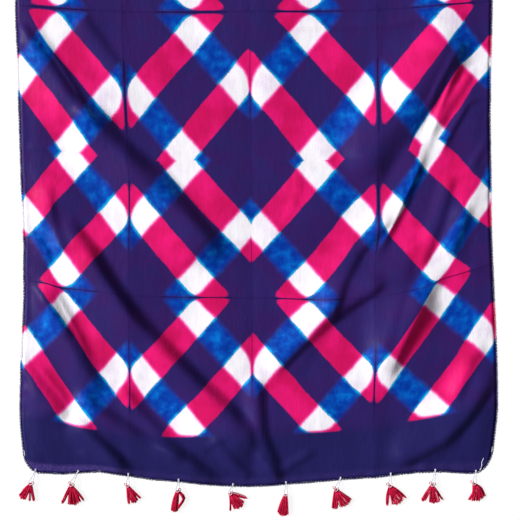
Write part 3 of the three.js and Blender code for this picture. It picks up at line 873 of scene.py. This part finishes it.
def along_edge(side, pitch, out):
    """Places every pitch along an edge, moved out from it, and the way each one faces."""
    x, y, z = lie(*edge_flat(side))
    dx, dy = np.gradient(x), np.gradient(y)
    long = np.hypot(dx, dy)
    x, y = x + out * dy / long, y - out * dx / long
    run = np.concatenate([[0], np.cumsum(np.hypot(np.diff(x), np.diff(y)))])
    count = round(run[-1] / pitch)
    stops = (np.arange(count) + 0.5) * run[-1] / count
    place = [np.interp(stops, run, line) for line in (x, y, z)]
    facing = np.interp(stops, run, np.unwrap(np.arctan2(dy, dx)))
    return place, facing


def picot_loop():
    """The points and faces of one loop of thread, longer along the edge than out from it."""
    deselect()
    bpy.ops.mesh.primitive_torus_add(
        major_segments=8, minor_segments=4,
        major_radius=PICOT_WIDE * MM, minor_radius=PICOT_THREAD * MM,
    )
    loop = bpy.context.object
    points = np.empty(len(loop.data.vertices) * 3)
    loop.data.vertices.foreach_get("co", points)
    faces = np.array([list(face.vertices) for face in loop.data.polygons])
    bpy.data.objects.remove(loop)
    return points.reshape(-1, 3) * (PICOT_LONG / PICOT_WIDE, 1, 1), faces


def make_picots(side):
    """The row of loops along one edge, joined into one mesh."""
    points, faces = picot_loop()
    (x, y, z), facing = along_edge(side, PICOT_PITCH, PICOT_OUT)
    random = np.random.default_rng(len(side))
    sizes = random.uniform(PICOT_SMALLEST, PICOT_LARGEST, len(x))
    turns = facing + random.normal(0, PICOT_TURN, len(x))
    places = []
    for at, turn, size in zip(to_frame(x, y, z + ROLL_RADIUS), turns, sizes):
        c, s = math.cos(turn), math.sin(turn)
        spin = np.array([[c, -s, 0], [s, c, 0], [0, 0, 1]])
        places.append(points * size @ spin.T + at)
    starts = np.arange(len(x)) * len(points)
    all_faces = (faces[None] + starts[:, None, None]).reshape(-1, 4)
    mesh = bpy.data.meshes.new("picots")
    mesh.from_pydata(np.concatenate(places).tolist(), [], all_faces.tolist())
    mesh.shade_smooth()
    picots = bpy.data.objects.new("picots", mesh)
    bpy.context.collection.objects.link(picots)
    return picots


def mark_edge_dye(piece, side):
    """The edging takes the dye of the cloth that it is sewn to."""
    flat_u, flat_v = edge_flat(side)
    tree = KDTree(len(flat_u))
    for i, place in enumerate(to_frame(*lie(flat_u, flat_v))):
        tree.insert(place, i)
    tree.balance()
    nearest = np.array([tree.find(vertex.co)[1] for vertex in piece.data.vertices])
    corners = np.empty(len(piece.data.loops), dtype=np.int32)
    piece.data.loops.foreach_get("vertex_index", corners)
    u, v = flat_u[nearest][corners], flat_v[nearest][corners]
    flat = piece.data.attributes.new("flat", "FLOAT_VECTOR", "CORNER")
    places = np.stack([u / WIDTH + 0.5, v / LENGTH, np.zeros_like(u)], axis=1)
    flat.data.foreach_set("vector", places.ravel())
    mark_dye(piece, u, v)


def make_edging(side):
    """A rolled hem thread along one side with its picot loops."""
    (x, y, z), _ = along_edge(side, 6, ROLL_OUT)
    roll = tubes([to_frame(x, y, z + ROLL_RADIUS)], [[ROLL_RADIUS * MM] * len(x)], 1)
    picots = make_picots(side)
    deselect()
    picots.select_set(True)
    roll.select_set(True)
    bpy.context.view_layer.objects.active = roll
    bpy.ops.object.join()
    mark_edge_dye(roll, side)
    return finish_piece(roll, f"picot_{side}", EDGING_THREAD, f"edging_{side}")


edgings = [make_edging(side) for side in ("left", "right", "near", "far")]

# ---------- tassels on their ties ----------

HEAD_RADIUS = 2.7
HEAD_LENGTH = 3.6
HEAD_UP = 3.2
STRANDS = 48
STRAND_STEPS = 6
STRAND_SPREAD = 1.6  # how wide a lobe's strands start
STRAND_STRAY = 0.5  # and how unevenly
STRAND_CURL = 0.6
STRANDS_THICK = 3.6  # how thick the strands lie over each other
ENDS_THICK = 3.2  # and at their cut ends
ENDS_UP = 0.6
YARN_RADIUS = 0.5
YARN_TAPER = (0.8, 1, 1.05, 1, 1, 0.95, 0.7)
THREAD_RADIUS = 0.42
KNOT_RADIUS = 1.0
KNOT_IN = 1.2  # the knot sits this far inside the hem
KNOT_UP = 1.0  # and this far above the cloth
TIE_UP = 1.1  # the thread's middle above the cloth
TIE_OVER = 0.9  # and above the head's
BINDING_RADIUS = 0.42  # of the yarn turns that bind the neck
BINDING_START = 0.9  # from the head's middle to the first turn
BINDING_STEP = 0.8
BINDING_WIDE = 2.0
BINDING_HIGH = 1.9
EYE_RADIUS = 1.5  # of a turn that shows beside the neck
EYE_YARN = 0.38
EYE_BESIDE = 2.1
EYE_BACK = 1.2
EYE_TILT = 0.8  # how far its sides stand above and below its middle
TURNS = np.linspace(0, 2 * math.pi, 13)

# Half a tie, from its knot round the tassel's neck: how far beside its middle line, and how far
# down it as a share of the way to the neck and a length more.
TIE_OUTLINE = [(0, 0, -KNOT_IN), (0.6, 0, 2), (0.9, 0.4, 0), (1.7, 0.72, 0), (2.3, 1, -0.6),
               (1.4, 1, 1.1), (0, 1, 1.6)]
LOOSE_END = [(271, 0), (272, 3), (270.5, 7), (271.5, 11)]  # flat places of a loose end by a tie


def leaning(degrees):
    """Out of the hem and leaning toward the right edge, and the direction beside it."""
    s, c = math.sin(math.radians(degrees)), math.cos(math.radians(degrees))
    return np.array([s, -c]), np.array([c, s])


def strand_paths(head, long, lobes, outward, seed):
    """Yarn from the tassel's neck to its cut ends, lobe by lobe."""
    random = np.random.default_rng(seed)
    paths, radii = [], []
    for start, end, share, bend in lobes:
        count = max(3, round(STRANDS * share))
        for i in range(count):
            part = (i + random.uniform(0.1, 0.9)) / count
            degrees = start + (end - start) * part
            layer = random.uniform(0, 1)
            reach = long * random.uniform(0.94, 1.03) * (1 - 0.08 * abs(2 * part - 1))
            _, neck_side = leaning((start + end) / 2)
            offset = (part - 0.5) * STRAND_SPREAD + random.uniform(-STRAND_STRAY, STRAND_STRAY)
            curl = random.normal(0, STRAND_CURL)
            path, down = [], np.zeros(2)
            for t in np.linspace(0, 1, STRAND_STEPS + 1):
                spread = offset * (1 - t) * 1.2 + curl * math.sin(math.pi * t)
                place = head[:2] + outward * (down + neck_side * spread)
                way, _ = leaning(degrees + bend * smooth((t - 0.2) / 0.4))
                down = down + way * reach / STRAND_STEPS
                spread_out = math.sin(min(1, t * 2) * math.pi / 2)
                height = HEAD_UP + (layer - 0.5) * STRANDS_THICK * spread_out
                settle = (height - ENDS_UP - layer * ENDS_THICK) * t**1.6
                path.append((*place, max(YARN_RADIUS, height - settle)))
            paths.append(to_frame(*np.array(path).T))
            radii.append([YARN_RADIUS * MM * taper for taper in YARN_TAPER])
    return paths, radii


def yarn_paths(row, head, way, side, outward, seed):
    """A tassel's yarn: the strands, the turns that bind its neck, and those that show beside it."""
    _, _, _, long, rings, lobes = row
    paths, radii = strand_paths(head, long + HEAD_LENGTH, lobes, outward, seed)
    total = sum(share for _, _, share, _ in lobes)
    lean = sum((start + end) / 2 * share for start, end, share, _ in lobes) / total
    body_way, body_side = leaning(lean)
    for turn in range(3):
        middle = head[:2] + outward * body_way * (BINDING_START + turn * BINDING_STEP)
        path = []
        for angle in TURNS:
            place = middle + outward * body_side * BINDING_WIDE * math.cos(angle)
            path.append((*place, head[2] + BINDING_HIGH * math.sin(angle)))
        paths.append(to_frame(*np.array(path).T))
        radii.append([BINDING_RADIUS * MM] * len(path))
    for beside in rings:
        middle = head[:2] + outward * (side * beside * EYE_BESIDE - way * EYE_BACK)
        path = []
        for angle in TURNS:
            place = middle + EYE_RADIUS * np.array([math.cos(angle), math.sin(angle)])
            path.append((*place, HEAD_UP + EYE_TILT * math.cos(angle)))
        paths.append(to_frame(*np.array(path).T))
        radii.append([EYE_YARN * MM] * len(path))
    return paths, radii


def tie_paths(hem, neck, way, side, outward):
    """A double thread that opens round the tassel's neck, and its knot on the hem."""
    half = [(beside, share * neck + more) for beside, share, more in TIE_OUTLINE]
    path = []
    for beside, down in half + [(-beside, down) for beside, down in half[::-1][1:]]:
        place = hem[:2] + outward * (way * down + side * beside)
        rise = smooth(down / neck)
        path.append((*place, hem[2] + TIE_UP + rise * (HEAD_UP + TIE_OVER - hem[2])))
    paths = [to_frame(*np.array(path).T)]
    for turn in range(3):
        angle = turn * math.pi / 3
        knot = []
        for step in np.linspace(0, 2 * math.pi, 9):
            wide = KNOT_RADIUS * math.cos(step)
            place = hem[:2] - outward * way * KNOT_IN
            place = place + wide * (side * math.cos(angle) + way * math.sin(angle))
            knot.append((*place, hem[2] + KNOT_UP + KNOT_RADIUS * 0.9 * math.sin(step)))
        paths.append(to_frame(*np.array(knot).T))
    return paths


def loose_path(outward):
    """The loose end of thread that lies on the cloth by a corner tie."""
    u, v = np.array(LOOSE_END, float).T
    u, v = (u, v) if outward > 0 else (-u, LENGTH - v)
    x, y, z = lie(u, v)
    return to_frame(x, y, z + SILK_THICKNESS + THREAD_RADIUS)


def make_tassel(number, row, outward):
    """A tassel and its tie on the shown hem, or half round on the far one."""
    at, tie, tie_lean = row[:3]
    u, v = (at, 0) if outward > 0 else (-at, LENGTH)
    x, y, z = (float(line[0]) for line in lie(np.array([float(u)]), np.array([float(v)])))
    hem = np.array([x, y, z])
    level = hem[:2] - (0, float(hem_stray(u, v)))
    way, _ = leaning(tie_lean)
    head = np.array([*(level + outward * way * (tie + HEAD_RADIUS - HEAD_LENGTH)), HEAD_UP])
    neck = np.hypot(*(head - hem)[:2])
    way = outward * (head - hem)[:2] / neck
    side = np.array([-way[1], way[0]])

    label = f"{number:02d}"
    yarn = tubes(*yarn_paths(row, head, way, side, outward, number), 1)
    finish_piece(yarn, f"yarn_{label}", YARN, f"tassel_{label}")

    paths = tie_paths(hem, neck, way, side, outward)
    if number % len(SHOWN_TASSELS) == 0:
        paths.append(loose_path(outward))
    thread = tubes(paths, [[THREAD_RADIUS * MM] * len(path) for path in paths], 1)
    finish_piece(thread, f"thread_{label}", WHITE_THREAD, f"tie_{label}")
    return yarn, thread


for i, row in enumerate(SHOWN_TASSELS):
    make_tassel(i + 1, row, 1)
    make_tassel(i + 1 + len(SHOWN_TASSELS), row, -1)

# ---------- floor, light and camera ----------

FRAME_WIDTH = 582.4  # what the camera takes in, side to side
FRAME_MIDDLE = (3.4, 254.2)
LENS = 117
SENSOR = 36
FLOOR_SIZE = 26  # metres
FLOOR_DROP = 0.0002
SKY = 0.22  # the even part of the light
WINDOW_ANGLE = 22  # how wide the window looks from the cloth, in degrees
WINDOW = Vector((-0.8, 0.2, 0.53))  # toward the window, on the left


def make_floor():
    deselect()
    bpy.ops.mesh.primitive_plane_add(size=FLOOR_SIZE, location=(0, 0, -FLOOR_DROP))
    floor = bpy.context.object
    bpy.ops.object.transform_apply(location=True)
    floor.name = "floor"
    floor.data.materials.append(floor_look())


def make_light():
    world = bpy.data.worlds.new("studio")
    world.use_nodes = True
    world.node_tree.nodes["Background"].inputs["Color"].default_value = (1, 1, 1, 1)
    world.node_tree.nodes["Background"].inputs["Strength"].default_value = SKY
    bpy.context.scene.world = world
    sun = bpy.data.lights.new("window", "SUN")
    sun.energy = (LIT - SKY) * math.pi / WINDOW.normalized().z
    sun.angle = math.radians(WINDOW_ANGLE)
    lamp = bpy.data.objects.new("window", sun)
    bpy.context.collection.objects.link(lamp)
    lamp.rotation_euler = WINDOW.to_track_quat("Z", "Y").to_euler()


def make_camera():
    lens = bpy.data.cameras.new("camera")
    lens.lens = LENS
    lens.sensor_width = SENSOR
    camera = bpy.data.objects.new("camera", lens)
    bpy.context.collection.objects.link(camera)
    middle = to_frame(*FRAME_MIDDLE, 0.0)
    distance = FRAME_WIDTH * MM * LENS / SENSOR
    camera.location = (middle[0], middle[1], distance)
    bpy.context.scene.camera = camera


make_floor()
make_light()
make_camera()
bpy.context.scene.view_settings.view_transform = "Standard"
